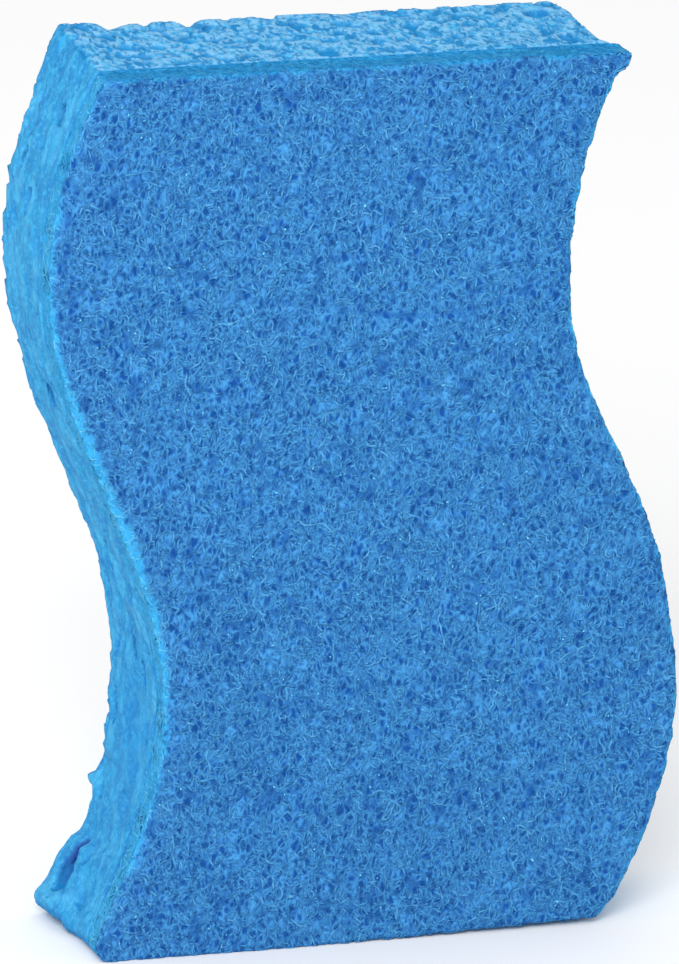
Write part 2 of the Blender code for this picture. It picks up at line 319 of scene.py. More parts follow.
# The left back rim, as distances from the back and from the side, with its spur and its rows of
# teeth: lowest, highest, spacing, depth
RIM_FROM_BACK = (1.8 * MM, 0.3 * MM)
RIM_FROM_SIDE = (1.5 * MM, 0.3 * MM)
SPUR_TOP = 17.4 * MM
SPUR_TIP = 0.4 * MM
SPUR_HEIGHT = 1.3 * MM
SPUR_LENGTH = 0.9 * MM
TEETH = (
    (62.0 * MM, 104.0 * MM, 3.1 * MM, 0.95 * MM),
    (21.0 * MM, 31.0 * MM, 1.7 * MM, 0.60 * MM),
)
TEETH_FADE = 2.0 * MM
TEETH_DRIFT = 0.45
TEETH_DRIFT_SIZE = 4.0 * MM
TEETH_WEAR = 0.35
TEETH_WEAR_SIZE = 5.0 * MM
# The deep cell low on the left side
FOOT_CELL = (5.6 * MM, 7.4 * MM)
FOOT_CELL_REACH = (1.8 * MM, 3.2 * MM)
FOOT_CELL_LEAN = 0.20
FOOT_CELL_TAPER = 0.45
FOOT_CELL_WALL = (1.0, 0.75)
FOOT_CELL_DEPTH = 1.0 * MM
FOOT_CELL_SIDE = 2.5 * MM
# The upper corners
CORNER_HEIGHTS = (LENGTH - 7.0 * MM, LENGTH - 1.0 * MM)
CORNER_DEPTHS = (-3.0 * MM, 7.0 * MM)
RIGHT_CORNER_LOSS = 1.3 * MM
RIGHT_CORNER_REACH = 8.0 * MM
RIGHT_CORNER_REAR = 0.2
LEFT_CORNER_RISE = 0.45 * MM
LEFT_CORNER_GAPS = (9.0 * MM, 1.0 * MM)


def foot_cell(points):
    """1 in the deep cell low on the left side, 0 outside it."""
    across, along = FOOT_CELL_REACH
    up = points[:, 2] - FOOT_CELL[1]
    over = points[:, 1] - FOOT_CELL[0] - FOOT_CELL_LEAN * up
    across = across * (1 - FOOT_CELL_TAPER * up / along)
    return smooth_step(*FOOT_CELL_WALL, np.hypot(over / across, up / along))


def notched(points):
    """The sponge's points with the notches and teeth of its rims and the deep cell at its foot."""
    x, y, z = points.T
    moved = points.copy()
    gap = side_gap(points)
    on_left = x < wave_shift(z)

    edge = smooth_step(LENGTH - NOTCH_REACH, LENGTH, z) * smooth_step(*NOTCH_DEPTHS, y)
    for place, width, depth in NOTCHES:
        moved[:, 2] -= depth * edge * bump_at(x, place, width)

    rim = smooth_step(*RIM_FROM_BACK, BACK - y) * smooth_step(*RIM_FROM_SIDE, gap) * on_left
    spur = np.clip(1.0 - (SPUR_TOP - z) / SPUR_HEIGHT, 0.0, 1.0)
    spur = spur * smooth_step(SPUR_TOP + SPUR_TIP, SPUR_TOP, z)
    moved[:, 0] -= SPUR_LENGTH * rim * spur
    drift = TEETH_DRIFT * soft_noise(np.stack([z, z, z], axis=1), TEETH_DRIFT_SIZE, 64)
    wear = (1 - TEETH_WEAR) + TEETH_WEAR * soft_noise(points, TEETH_WEAR_SIZE, 65)
    for low, high, spacing, depth in TEETH:
        turn = z / spacing + drift
        tooth = (1.0 - (turn - np.floor(turn))) * wear
        row = smooth_step(low - TEETH_FADE, low, z) * smooth_step(high + TEETH_FADE, high, z)
        moved[:, 0] += depth * rim * tooth * row

    moved[:, 0] += FOOT_CELL_DEPTH * foot_cell(points) * smooth_step(FOOT_CELL_SIDE, 0.0, gap) * on_left
    corner = smooth_step(*CORNER_HEIGHTS, z)
    rear = smooth_step(*CORNER_DEPTHS, y)
    lost = corner * smooth_step(RIGHT_CORNER_REACH, 0.0, gap) * ~on_left
    lost = lost * ((1 - RIGHT_CORNER_REAR) + RIGHT_CORNER_REAR * rear)
    moved[:, 0] -= RIGHT_CORNER_LOSS * lost
    moved[:, 2] += LEFT_CORNER_RISE * corner * rear * smooth_step(*LEFT_CORNER_GAPS, gap) * on_left
    return moved


class Nodes:
    """Builds a material's node tree with short calls."""

    def __init__(self, name):
        self.material = bpy.data.materials.new(name)
        self.material.use_nodes = True
        self.tree = self.material.node_tree
        self.shader = self.tree.nodes["Principled BSDF"]

    def link(self, source, target):
        self.tree.links.new(source, target)

    def matt(self, roughness, specular):
        self.shader.inputs["Roughness"].default_value = roughness
        self.shader.inputs["Specular IOR Level"].default_value = specular

    def color(self, source):
        self.link(source, self.shader.inputs["Base Color"])

    def place(self):
        return self.tree.nodes.new("ShaderNodeTexCoord").outputs["Object"]

    def stretched(self, place, scale):
        node = self.tree.nodes.new("ShaderNodeMapping")
        node.inputs["Scale"].default_value = scale
        self.link(place, node.inputs["Vector"])
        return node.outputs["Vector"]

    def noise(self, place, scale, detail, roughness=0.55):
        node = self.tree.nodes.new("ShaderNodeTexNoise")
        node.inputs["Scale"].default_value = scale
        node.inputs["Detail"].default_value = detail
        node.inputs["Roughness"].default_value = roughness
        self.link(place, node.inputs["Vector"])
        return node.outputs["Fac"]

    def warped(self, place, scale, amount):
        """The place pushed about by a noise, so that straight lines drawn from it curl."""
        node = self.tree.nodes.new("ShaderNodeTexNoise")
        node.inputs["Scale"].default_value = scale
        node.inputs["Detail"].default_value = 1.0
        self.link(place, node.inputs["Vector"])
        push = self.tree.nodes.new("ShaderNodeVectorMath")
        push.operation = "MULTIPLY_ADD"
        self.link(node.outputs["Color"], push.inputs[0])
        push.inputs[1].default_value = (amount, amount, amount)
        self.link(place, push.inputs[2])
        return push.outputs["Vector"]

    def strands(self, place, scale, width):
        """A net of fine strands: 1 on a strand, 0 in the holes between them."""
        node = self.tree.nodes.new("ShaderNodeTexVoronoi")
        node.feature = "DISTANCE_TO_EDGE"
        node.inputs["Scale"].default_value = scale
        self.link(place, node.inputs["Vector"])
        return self.grey(node.outputs["Distance"], 0.0, width, 1.0, 0.0)

    def value(self, name):
        node = self.tree.nodes.new("ShaderNodeAttribute")
        node.attribute_name = name
        return node.outputs["Fac"]

    def ramp(self, source, *stops):
        node = self.tree.nodes.new("ShaderNodeValToRGB")
        ramp = node.color_ramp
        while len(ramp.elements) < len(stops):
            ramp.elements.new(0.5)
        for element, (position, color) in zip(ramp.elements, stops):
            element.position = position
            element.color = (*color, 1.0)
        self.link(source, node.inputs["Fac"])
        return node.outputs["Color"]

    def grey(self, source, low, high, dark=0.0, light=1.0):
        node = self.tree.nodes.new("ShaderNodeMapRange")
        node.inputs["From Min"].default_value = low
        node.inputs["From Max"].default_value = high
        node.inputs["To Min"].default_value = dark
        node.inputs["To Max"].default_value = light
        self.link(source, node.inputs["Value"])
        return node.outputs["Result"]

    def fill(self, socket, source):
        """Links a source to a socket, or sets a number or a colour on it."""
        if isinstance(source, (int, float)):
            socket.default_value = source
        elif isinstance(source, tuple):
            socket.default_value = (*source, 1.0)
        else:
            self.link(source, socket)

    def math(self, operation, first, second):
        node = self.tree.nodes.new("ShaderNodeMath")
        node.operation = operation
        self.fill(node.inputs[0], first)
        self.fill(node.inputs[1], second)
        return node.outputs["Value"]

    def times(self, first, second):
        return self.math("MULTIPLY", first, second)

    def mix(self, factor, first, second):
        node = self.tree.nodes.new("ShaderNodeMix")
        node.data_type = "RGBA"
        self.fill(node.inputs[0], factor)
        self.fill(node.inputs[6], first)
        self.fill(node.inputs[7], second)
        return node.outputs[2]

    def bump(self, height, distance, strength, normal=None):
        node = self.tree.nodes.new("ShaderNodeBump")
        node.inputs["Strength"].default_value = strength
        node.inputs["Distance"].default_value = distance
        self.link(height, node.inputs["Height"])
        if normal is not None:
            self.link(normal, node.inputs["Normal"])
        self.link(node.outputs["Normal"], self.shader.inputs["Normal"])

    def leaning(self, name, share):
        """The faces' own direction, leaning by a share toward the direction that the mesh holds."""
        faces = self.tree.nodes.new("ShaderNodeNewGeometry")
        held = self.tree.nodes.new("ShaderNodeAttribute")
        held.attribute_name = name
        turned = self.tree.nodes.new("ShaderNodeVectorTransform")
        turned.vector_type = "NORMAL"
        turned.convert_from = "OBJECT"
        turned.convert_to = "WORLD"
        self.link(held.outputs["Vector"], turned.inputs["Vector"])
        node = self.tree.nodes.new("ShaderNodeMix")
        node.data_type = "VECTOR"
        node.inputs[0].default_value = share
        self.link(faces.outputs["True Normal"], node.inputs[4])
        self.link(turned.outputs["Vector"], node.inputs[5])
        unit = self.tree.nodes.new("ShaderNodeVectorMath")
        unit.operation = "NORMALIZE"
        self.link(node.outputs[1], unit.inputs[0])
        return unit.outputs["Vector"]


# Colours, linear
CELLULOSE_SKIN = (0.036, 0.325, 0.620)
CELLULOSE_PALE = (0.100, 0.500, 0.800)
CELLULOSE_PAINTED_SHEEN = (0.205, 0.480, 0.740)
CELLULOSE_DARK_GRAIN_AND_SHADE = (0.024, 0.225, 0.530)
CELLULOSE_END_CELL_SHADE = (0.013, 0.210, 0.490)
CELLULOSE_CELL_SHADE = (0.026, 0.078, 0.350)
WEB_FIBRE = (0.075, 0.350, 0.715)
WEB_FIBRE_PALE = (0.088, 0.388, 0.765)
WEB_FIBRE_DEEP = (0.062, 0.306, 0.665)
WEB_STRAND = (0.110, 0.425, 0.800)
WEB_GLINT = (0.200, 0.720, 0.980)
WEB_HOLE_SHADE = (0.008, 0.082, 0.345)
WEB_DEEP_SHADE = (0.006, 0.068, 0.315)
WEB_GROUND_LIGHT = (0.066, 0.315, 0.670)
WEB_CUT = (0.056, 0.455, 0.850)
WEB_CUT_PALE = (0.130, 0.560, 0.910)
WEB_CUT_DEEP = (0.042, 0.395, 0.790)
WEB_CUT_HOLE_SHADE = (0.034, 0.305, 0.680)
WEB_TOP_SHADE = (0.014, 0.235, 0.560)
MATT = 0.8
SPONGE_SHINE = 0.10
WEB_SHINE = 0.05

# Grain of the cellulose: how many lumps to a metre, and how it is drawn out
STREAKS = 620.0
PATCHES = 380.0
SPECKS = 1900.0
PITS = 1500.0
SHEEN_GRAINS = 1800.0
WIDE_CELLS = 620.0
CLOSE_CELLS = 1500.0
FINE_GRAINS = 1300.0
FINE_GRAIN_RELIEF = 0.32 * MM
DRAWN_UP = (1.0, 1.0, 0.55)
DRAWN_BACK = (1.0, 0.55, 1.0)
SHEEN_DRAWN = (0.80, 0.50, 1.0)


def cellulose():
    """Matt open-celled sponge: painted sheen as pale grains on the cut ends, painted shade in the pores
    and cells.
    """
    nodes = Nodes("cellulose")
    place = nodes.place()
    drawn_back = nodes.stretched(place, DRAWN_BACK)
    drawn_up = nodes.stretched(place, DRAWN_UP)
    streaks = nodes.noise(drawn_up, STREAKS, detail=4.0, roughness=0.65)
    skin = nodes.mix(nodes.grey(streaks, 0.42, 0.58), CELLULOSE_DARK_GRAIN_AND_SHADE, CELLULOSE_SKIN)
    patches = nodes.noise(drawn_up, PATCHES, detail=2.0)
    skin = nodes.mix(nodes.grey(patches, 0.48, 0.62, 0.0, 0.45), skin, CELLULOSE_PALE)
    specks = nodes.noise(place, SPECKS, detail=1.0, roughness=0.6)
    skin = nodes.mix(nodes.grey(specks, 0.50, 0.66, 0.0, 0.40), skin, CELLULOSE_PALE)
    # Painted shade in small pores.
    pits = nodes.noise(drawn_up, PITS, detail=1.0, roughness=0.6)
    skin = nodes.mix(nodes.grey(pits, 0.38, 0.48, 0.35, 0.0), skin, CELLULOSE_DARK_GRAIN_AND_SHADE)
    # Painted shade in a band low on the sides, near the pad.
    skin = nodes.mix(nodes.times(nodes.value("low_shade"), 0.55), skin, CELLULOSE_DARK_GRAIN_AND_SHADE)

    # Painted sheen: pale grains near the cut ends.
    near_end = nodes.value("near_end")
    sheen_noise = nodes.noise(nodes.stretched(place, SHEEN_DRAWN), SHEEN_GRAINS, detail=1.0, roughness=0.60)
    painted_sheen = nodes.times(nodes.grey(sheen_noise, 0.34, 0.58), near_end)
    skin = nodes.mix(nodes.times(painted_sheen, 0.85), skin, CELLULOSE_PAINTED_SHEEN)
    # Painted shade in the open cells of the ends.
    wide_cells = nodes.noise(drawn_back, WIDE_CELLS, detail=2.0, roughness=0.6)
    wide_cells = nodes.grey(wide_cells, 0.385, 0.42, 1.0, 0.0)
    close_cells = nodes.noise(drawn_back, CLOSE_CELLS, detail=1.0)
    close_cells = nodes.grey(close_cells, 0.37, 0.41, 0.8, 0.0)
    open_end = nodes.times(nodes.math("MAXIMUM", wide_cells, close_cells), near_end)
    skin = nodes.mix(open_end, skin, CELLULOSE_END_CELL_SHADE)

    # Painted shade: darker the deeper a point lies in the cells, in the cells of the ends and in the
    # deep cell at the foot.
    depth = nodes.value("cell_depth")
    shallow = nodes.mix(nodes.grey(depth, 0.10, 0.40), skin, CELLULOSE_DARK_GRAIN_AND_SHADE)
    deep = nodes.mix(nodes.grey(depth, 0.45, 1.0), shallow, CELLULOSE_CELL_SHADE)
    deep = nodes.mix(nodes.value("end_cell_shade"), deep, CELLULOSE_END_CELL_SHADE)
    nodes.color(nodes.mix(nodes.value("foot_cell"), deep, CELLULOSE_CELL_SHADE))
    nodes.matt(MATT, SPONGE_SHINE)
    fine = nodes.noise(drawn_back, FINE_GRAINS, detail=2.5, roughness=0.65)
    nodes.bump(fine, FINE_GRAIN_RELIEF, strength=0.9)
    return nodes.material


# The net that the web's fibres knit: how many holes to a metre and how wide its strands are, then
# what curls it and draws it out, and how many patches, glints and grains there are to a metre
CLOSE_NET = (1200.0, 0.27)
WIDE_NET = (650.0, 0.14)
WIDE_NET_SHARE = 0.90
NET_WARP = (900.0, 0.9 * MM)
NET_DRAWN = (1.0, 1.0, 0.66)
TOP_PATCHES = 1300.0
GLINTS = 1900.0
RESIN_GRAINS = 5200.0
RESIN_RELIEF = 0.03 * MM
GROUND_RELIEF = 0.20 * MM
OPEN_SHADE = 0.60
MATTED_SHADE = 0.20
CREASE_SHADE = 0.60
OUTWARD_LEAN = 0.60


def web_holes(nodes, place):
    """The holes of the net that the fibres knit: 1 in the middle of a hole, 0 on its strands."""
    curled = nodes.warped(nodes.stretched(place, NET_DRAWN), *NET_WARP)
    close = nodes.strands(curled, *CLOSE_NET)
    wide = nodes.strands(curled, *WIDE_NET)
    strands = nodes.math("MAXIMUM", close, nodes.times(wide, WIDE_NET_SHARE))
    return nodes.math("SUBTRACT", 1.0, strands)


def web_tones(nodes, color):
    """The web's colour: paler where it is matted, with painted shade where it is open, where it is
    creased and along the top of the cut.
    """
    # Painted shade where the web is open and along its crease.
    color = nodes.mix(nodes.times(nodes.value("open_web"), OPEN_SHADE), color, WEB_DEEP_SHADE)
    color = nodes.mix(nodes.times(nodes.value("matted_web"), MATTED_SHADE), color, WEB_FIBRE_PALE)
    color = nodes.mix(nodes.times(nodes.value("crease"), CREASE_SHADE), color, WEB_DEEP_SHADE)
    # Painted shade along the top of the cut.
    patchy = nodes.grey(nodes.noise(nodes.place(), TOP_PATCHES, detail=2.0), 0.38, 0.60, 0.95, 0.40)
    return nodes.mix(nodes.times(nodes.value("top_end_shade"), patchy), color, WEB_TOP_SHADE)


def web_ground():
    """The lower fibres of the web, in the shade of those above them."""
    nodes = Nodes("web_ground")
    holes = web_holes(nodes, nodes.place())
    # Painted shade in the holes of the net, on the front and on the cut edges.
    face = nodes.mix(holes, WEB_GROUND_LIGHT, WEB_HOLE_SHADE)
    cut = nodes.mix(holes, WEB_CUT_DEEP, WEB_CUT_HOLE_SHADE)
    nodes.color(web_tones(nodes, nodes.mix(nodes.value("cut_edge"), face, cut)))
    nodes.matt(MATT, WEB_SHINE)
    nodes.bump(nodes.math("SUBTRACT", 1.0, holes), GROUND_RELIEF, strength=0.7)
    return nodes.material


def web_fibre():
    """Crimped synthetic fibre with a thin coat of resin: each fibre has its own tone, with painted
    shade where it dips and where it lies in a hole of the net."""
    nodes = Nodes("web_fibre")
    place = nodes.place()
    tone = nodes.value("fibre_tone")
    cut_edge = nodes.value("cut_edge")
    face = nodes.ramp(
        tone, (0.0, WEB_FIBRE_DEEP), (0.5, WEB_FIBRE), (0.90, WEB_FIBRE_PALE), (0.95, WEB_STRAND))
    # Painted shade on fibres that dip under the others.
    face = nodes.mix(nodes.grey(nodes.value("rise"), 0.20, 0.75, 0.50, 0.0), face, WEB_HOLE_SHADE)
    cut = nodes.ramp(tone, (0.0, WEB_CUT_DEEP), (0.5, WEB_CUT), (1.0, WEB_CUT_PALE))
    own = nodes.mix(cut_edge, face, cut)
    uncut = nodes.math("SUBTRACT", 1.0, nodes.times(cut_edge, 0.92))
    shown = nodes.times(uncut, nodes.grey(tone, 0.90, 0.95, 0.85, 0.45))
    # Painted shade where a fibre lies in a hole of the net.
    holes = nodes.times(web_holes(nodes, place), shown)
    shaded = web_tones(nodes, nodes.mix(holes, own, WEB_HOLE_SHADE))
    glints = nodes.grey(nodes.noise(place, GLINTS, detail=1.0), 0.735, 0.77)
    nodes.color(nodes.mix(glints, shaded, WEB_GLINT))
    nodes.matt(MATT, WEB_SHINE)
    resin = nodes.noise(place, RESIN_GRAINS, detail=1.0)
    nodes.bump(resin, RESIN_RELIEF, strength=0.4, normal=nodes.leaning("outward", OUTWARD_LEAN))
    return nodes.material


# The sponge's own cells, finer than those of the solids, in the block straightened out:
# (width, height, length), from, to, depth, share on the sides and back, share on the ends, seed
FINE_CELLS = (
    ((2.2 * MM, 1.5 * MM, 4.0 * MM), 0.40, 0.80, 0.40 * MM, 1.0, 0.0, 11),
    ((1.1 * MM, 0.8 * MM, 1.8 * MM), 0.36, 0.70, 0.30 * MM, 1.0, 0.0, 12),
    ((1.7 * MM, 1.4 * MM, 1.7 * MM), 0.44, 0.54, 0.70 * MM, 0.0, 1.0, 14),
    ((1.0 * MM, 0.9 * MM, 1.1 * MM), 0.40, 0.50, 0.50 * MM, 0.0, 1.0, 15),
    ((0.7 * MM, 0.6 * MM, 0.8 * MM), 0.15, 0.60, 0.20 * MM, 1.0, 1.0, 13),
)
FACING_AN_END = (0.55, 0.85)
SPONGE_SWAY = 0.22 * MM
SPONGE_SWAY_SIZE = 2.4 * MM
END_SWAY_SHARE = 0.30
BOND_CALM = 0.8 * MM
BOND_SWELL = 0.11 * MM
CELL_SHADE_DEPTH = 2.6 * MM
NEAR_END_DEPTHS = (0.10 * MM, 0.40 * MM)
END_CELL_DEPTHS = (0.20 * MM, 0.45 * MM)
# The band of painted shade low on the sides, as place and reach
LOW_SHADE_HEIGHT = (24.0 * MM, 13.0 * MM)
LOW_SHADE_DEPTH = (0.0 * MM, 5.5 * MM)


def ends_of(mesh):
    """1 on the parts of a mesh that face up or down, 0 on those that face sideways."""
    _, normals = mesh_arrays(mesh)
    return smooth_step(*FACING_AN_END, np.abs(normals[:, 2]))


def sponge_values(mesh):
    """Sets what the sponge's look follows: its depth in the cells and its low band for painted shade,
    and its ends for painted sheen.
    """
    points, _ = mesh_arrays(mesh)
    ends = end_gap(points)
    gap = np.minimum(np.minimum(side_gap(points), ends), BACK - points[:, 1])
    on_left = points[:, 0] < wave_shift(points[:, 2])
    low_shade = bump_at(points[:, 2], *LOW_SHADE_HEIGHT) * bump_at(points[:, 1], *LOW_SHADE_DEPTH)
    set_value(mesh, "cell_depth", np.clip(gap / CELL_SHADE_DEPTH, 0.0, 1.0))
    set_value(mesh, "near_end", 1.0 - smooth_step(*NEAR_END_DEPTHS, ends))
    set_value(mesh, "end_cell_shade", smooth_step(*END_CELL_DEPTHS, ends) * ends_of(mesh))
    set_value(mesh, "foot_cell", foot_cell(points) * on_left)
    set_value(mesh, "low_shade", low_shade)


def sponge_mesh():
    """The solid's sponge with its cells bent out of true and finer cells opened between them."""
    mesh = remeshed("cellulose_sponge", SPONGE_VOXEL)
    points, normals = mesh_arrays(mesh)
    straight = points - np.outer(wave_shift(points[:, 2]), (1.0, 0.0, 0.0))
    calm = smooth_step(BOND, BOND + BOND_CALM, points[:, 1])
    ends = ends_of(mesh)
    sway = np.stack([soft_noise(points, SPONGE_SWAY_SIZE, seed) for seed in (21, 22, 23)], axis=1)
    sunk = np.zeros(len(points))
    for size, low, high, depth, on_sides, on_ends, seed in FINE_CELLS:
        share = on_sides * (1 - ends) + on_ends * ends
        opened = smooth_step(low, high, soft_noise(straight, size, seed))
        sunk = np.maximum(sunk, share * depth * opened)
    sway *= SPONGE_SWAY * (1 - (1 - END_SWAY_SHARE) * ends)[:, None]
    moved = points + calm[:, None] * (sway - sunk[:, None] * normals)
    moved[:, 1] -= BOND_SWELL * (1 - calm)
    set_points(mesh, moved)
    mesh = thinned(mesh, MOST_SPONGE_TRIANGLES)
    sponge_values(mesh)
    points, _ = mesh_arrays(mesh)
    set_points(mesh, bent(notched(points)))
    shade_smooth(mesh)
    return mesh


# The web: its crease, the margins where its cut rolls on to the front, and its clumps
CREASE_DEPTH = 0.30 * MM
CREASE_EDGE = 1.5 * MM
CREASE_BREAKS = (1.6 * MM, 4.0 * MM, 4.0 * MM)
CREASE_LEAST = 0.3
PROBE_START = PAD_FRONT - 1.0 * MM
PROBE_LENGTH = 4.0 * MM
CUT_DEPTHS = (PAD_FRONT + 0.80 * MM, PAD_FRONT + 1.20 * MM)
LEFT_MARGIN = 1.15 * MM
LEFT_MARGIN_REACH = 34.0 * MM
RIGHT_MARGIN = 0.35 * MM
TOP_MARGIN = 0.55 * MM
SIDE_MARGIN_FADE = 0.35 * MM
TOP_MARGIN_FADE = 0.30 * MM
MARGIN_ROUGHNESS = 0.45 * MM
MARGIN_ROUGHNESS_SIZE = 1.4 * MM
# Clumps of fibres: how strong, how large, seed
CLUMPS = (
    (0.90, (0.75 * MM, 3.0 * MM, 0.9 * MM), 71),
    (0.20, (1.6 * MM, 6.0 * MM, 2.2 * MM), 72),
)
TOP_CUT_HEIGHTS = (LENGTH - 1.2 * MM, LENGTH - 0.5 * MM)
# The ground: how far it lies under the solid's face, cut edges and top, and its lumps
FACE_SINK = 0.34 * MM
EDGE_SINK = 0.14 * MM
TOP_SINK = 0.45 * MM
GROUND_CALM = 0.4 * MM
GROUND_LUMPS = (
    (0.12 * MM, 5.0 * MM, 31),
    (0.10 * MM, 1.1 * MM, 32),
)


def crease_at(points):
    """How deep in the solid's crease points on the front lie, from 0 to 1."""
    tree = surface_tree(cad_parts["scouring_pad"].data)
    ahead = Vector((0.0, 1.0, 0.0))
    depth = np.zeros(len(points))
    inner = (side_gap(points) > CREASE_EDGE) & (end_gap(points) > CREASE_EDGE)
    for index in np.nonzero(inner & (points[:, 1] < PAD_FRONT + 1.0 * MM))[0]:
        x, _, z = points[index]
        hit = tree.ray_cast(Vector((x, PROBE_START, z)), ahead, PROBE_LENGTH)[0]
        depth[index] = hit.y - PAD_FRONT if hit else 0.0
    broken = smooth_step(-0.4, 0.3, soft_noise(points, CREASE_BREAKS, 73))
    broken = CREASE_LEAST + (1 - CREASE_LEAST) * broken
    return np.clip(depth / CREASE_DEPTH, 0.0, 1.0) * broken


def cut_share(points):
    """1 on the web's cut sides and ends and where the cut rolls over on to its front, 0 elsewhere."""
    behind = smooth_step(*CUT_DEPTHS, points[:, 1])
    left_margin = LEFT_MARGIN * bump_at(points[:, 2], LENGTH / 2, LEFT_MARGIN_REACH)
    margin = np.where(points[:, 0] < wave_shift(points[:, 2]), left_margin, RIGHT_MARGIN)
    rough = MARGIN_ROUGHNESS * soft_noise(points, MARGIN_ROUGHNESS_SIZE, 74)
    past_top = LENGTH - points[:, 2] - TOP_MARGIN - rough
    past_side = side_gap(points) - margin - rough
    under_top = smooth_step(TOP_MARGIN_FADE, -TOP_MARGIN_FADE, past_top)
    at_side = smooth_step(SIDE_MARGIN_FADE, -SIDE_MARGIN_FADE, past_side)
    return np.maximum(np.maximum(behind, under_top), at_side)


def web_values(points):
    """What the web's look follows: its cut edges, crease, open spots and matted spots."""
    cut = cut_share(points)
    clumps = sum(strength * soft_noise(points, size, seed) for strength, size, seed in CLUMPS)
    return {
        "cut_edge": cut,
        "crease": crease_at(points),
        "open_web": smooth_step(0.22, 0.55, -clumps) * (1 - 0.7 * cut),
        "matted_web": smooth_step(0.25, 0.60, clumps),
        "top_end_shade": smooth_step(*TOP_CUT_HEIGHTS, points[:, 2]) * cut,
    }


def pad_mesh():
    """The web's ground: the solid's pad, a little smaller all round and lumpy."""
    mesh = remeshed("scouring_pad", PAD_VOXEL)
    points, normals = mesh_arrays(mesh)
    lumps = sum(height * soft_noise(points, size, seed) for height, size, seed in GROUND_LUMPS)
    sink = EDGE_SINK + (FACE_SINK - EDGE_SINK) * smooth_step(0.3, 0.9, -normals[:, 1])
    sink += (TOP_SINK - EDGE_SINK) * smooth_step(0.5, 0.9, normals[:, 2])
    calm = smooth_step(PAD_BACK, PAD_BACK - GROUND_CALM, points[:, 1])
    moved = points + ((lumps - sink) * calm)[:, None] * normals
    moved[:, 1] += BOND_SWELL * (1 - calm)
    moved[:, 2] = np.clip(moved[:, 2], 0.0, None)
    set_points(mesh, moved)
    return thinned(mesh, MOST_GROUND_TRIANGLES)


# The web's fibres
FIBRE_RADIUS = 0.125 * MM
FIBRE_FLATNESS = 0.70
FIBRE_STRIDE = 0.56 * MM
FIBRE_STEPS = 12
FIBRE_CURL = 0.60
CURL_MEMORY = 0.50
FIBRE_LEAN = 1.25
FIBRES_A_LAYER = 2850
FIBRE_SIDES = 3
# The layers: name, seed, lowest and highest middle line above the ground
FIBRE_LAYERS = (
    ("web_fibres_low", 51, -0.05 * MM, 0.03 * MM),
    ("web_fibres_middle", 52, -0.02 * MM, 0.08 * MM),
    ("web_fibres_high", 54, 0.00 * MM, 0.14 * MM),
)
FIBRE_SWING = 0.10 * MM
SWING_TURN = (0.9, 2.1)
FIBRE_RISE = (-0.08 * MM, 0.20 * MM)
OPEN_DIP = 0.10 * MM
CUT_LIFT_SHARE = 0.25
CUT_SINK = 0.010 * MM
# The finer fibres of the cut edges
EDGE_SEED = 53
EDGE_FIBRES = 4300
EDGE_STEPS = 6
EDGE_STRIDE = 0.36 * MM
EDGE_RADIUS = 0.070 * MM
EDGE_LOW = -0.10 * MM
EDGE_HIGH = 0.04 * MM
EDGE_TILT = 0.6
BOND_MARGIN = 0.25 * MM


def tube_mesh(name, paths, outward, radius, values):
    """Three-sided tubes along paths (fibre, step, xyz), one side turned outward, with their values."""
    count, steps, _ = paths.shape
    along = np.gradient(paths, axis=1)
    along /= np.linalg.norm(along, axis=2, keepdims=True) + 1e-12
    side = np.cross(outward, along)
    side /= np.linalg.norm(side, axis=2, keepdims=True) + 1e-12
    other = np.cross(along, side)
    rings = []
    for corner in range(FIBRE_SIDES):
        turn = 2 * math.pi * corner / FIBRE_SIDES + math.pi / 6
        offset = math.cos(turn) * side + FIBRE_FLATNESS * math.sin(turn) * other
        rings.append(paths + radius * offset)
    verts = np.stack(rings, axis=2).reshape(-1, 3)

    firsts = np.arange(count)[:, None] * steps + np.arange(steps - 1)[None, :]
    firsts = firsts.reshape(-1) * FIBRE_SIDES
    quads = []
    for corner in range(FIBRE_SIDES):
        here = firsts + corner
        beside = firsts + (corner + 1) % FIBRE_SIDES
        quads.append(np.stack([here, beside, beside + FIBRE_SIDES, here + FIBRE_SIDES], axis=1))
    quads = np.concatenate(quads)
    heads = np.arange(count) * steps * FIBRE_SIDES
    tails = heads + (steps - 1) * FIBRE_SIDES
    caps = np.concatenate([
        np.stack([heads, heads + 2, heads + 1], axis=1),
        np.stack([tails, tails + 1, tails + 2], axis=1),
    ])

    mesh = bpy.data.meshes.new(name)
    mesh.vertices.add(len(verts))
    mesh.vertices.foreach_set("co", verts.astype(np.float32).ravel())
    loops = np.concatenate([quads.ravel(), caps.ravel()])
    mesh.loops.add(len(loops))
    mesh.loops.foreach_set("vertex_index", loops.astype(np.int32))
    cap_starts = quads.size + np.arange(len(caps)) * FIBRE_SIDES
    starts = np.concatenate([np.arange(len(quads)) * 4, cap_starts])
    mesh.polygons.add(len(starts))
    mesh.polygons.foreach_set("loop_start", starts.astype(np.int32))
    mesh.update(calc_edges=True)
    mesh.validate()
    for label, value in values.items():
        set_value(mesh, label, np.repeat(value.reshape(count * steps), FIBRE_SIDES))
    set_direction(mesh, "outward", np.repeat(outward.reshape(-1, 3), FIBRE_SIDES, axis=0))
    shade_smooth(mesh)
    return mesh


def scattered(ground, count, dice, cut_only):
    """Starting spots on the ground's open faces, as (place, direction out)."""
    shown = [face for face in ground.polygons if face.center.y < PAD_BACK - 2 * BOND_MARGIN]
    if cut_only:
        shown = [face for face in shown if abs(face.normal.y) < EDGE_TILT]
    shares = np.array([face.area for face in shown])
    picks = dice.choice(len(shown), size=count, p=shares / shares.sum())
    return [(shown[pick].center.copy(), shown[pick].normal.copy()) for pick in picks]


